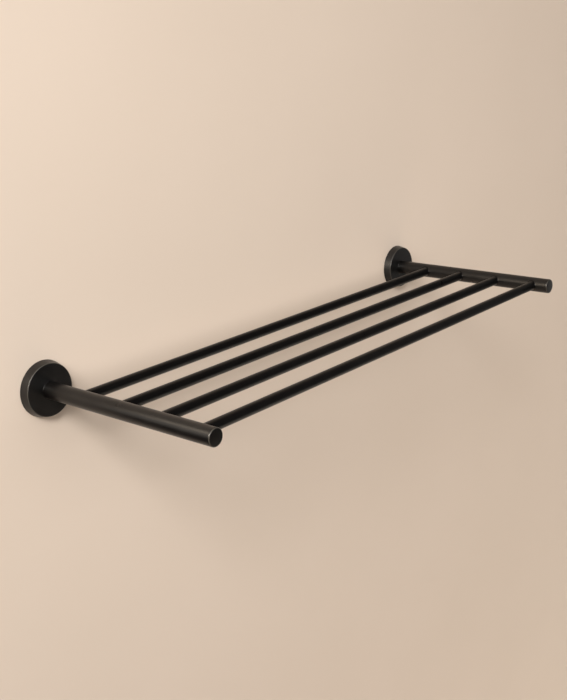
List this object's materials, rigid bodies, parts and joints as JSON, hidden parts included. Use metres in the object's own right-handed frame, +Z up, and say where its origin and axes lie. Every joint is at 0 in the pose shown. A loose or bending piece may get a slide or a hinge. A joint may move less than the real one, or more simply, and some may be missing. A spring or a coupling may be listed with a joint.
{
  "type": "towel shelf",
  "caption": "Wall-mounted bathroom towel shelf in matt black: round rails between two round arms on roses, clamped over screwed wall plates by set screws underneath.",
  "frame": {"origin": "on the wall plane, midway between the two arms, at the height of the arms' axes, which is the centre of the wall-screw pattern", "axes": "+X along the wall and the rails, +Y into the wall, so the shelf reaches towards -Y, +Z up"},
  "size_m": [0.6, 0.21, 0.052],
  "materials": {
    "matt_black_coat": "matt black powder coat on stainless steel",
    "zinc_plated_steel": "zinc plated, pressed",
    "turned_steel": "bright turned stainless steel",
    "black_oxide_steel": "black oxide"
  },
  "bodies": {
    "wall_plates": {"wall_plate_left": "zinc_plated_steel", "wall_plate_right": "zinc_plated_steel"},
    "shelf": {"rose_left": "matt_black_coat", "rose_right": "matt_black_coat", "arm_tube_left": "matt_black_coat", "arm_tube_right": "matt_black_coat", "arm_end_cap_left": "matt_black_coat", "arm_end_cap_right": "matt_black_coat", "arm_base_plug_left": "turned_steel", "arm_base_plug_right": "turned_steel", "arm_bolt_left": "turned_steel", "arm_bolt_right": "turned_steel", "arm_bolt_washer_left": "turned_steel", "arm_bolt_washer_right": "turned_steel", "back_rail": "matt_black_coat", "second_rail": "matt_black_coat", "third_rail": "matt_black_coat", "front_rail": "matt_black_coat"},
    "set_screw_left": {"rose_set_screw_left": "black_oxide_steel"},
    "set_screw_right": {"rose_set_screw_right": "black_oxide_steel"}
  },
  "joints": [
    {"name": "lift_off", "type": "slide", "parent": "wall_plates", "child": "shelf", "axis": [0, -1, 0], "range_m": [0, 0.03]},
    {"name": "loosen_left", "type": "slide", "parent": "shelf", "child": "set_screw_left", "axis": [0, 0, -1], "range_m": [0, 0.0021]},
    {"name": "loosen_right", "type": "slide", "parent": "shelf", "child": "set_screw_right", "axis": [0, 0, -1], "range_m": [0, 0.0021]}
  ]
}
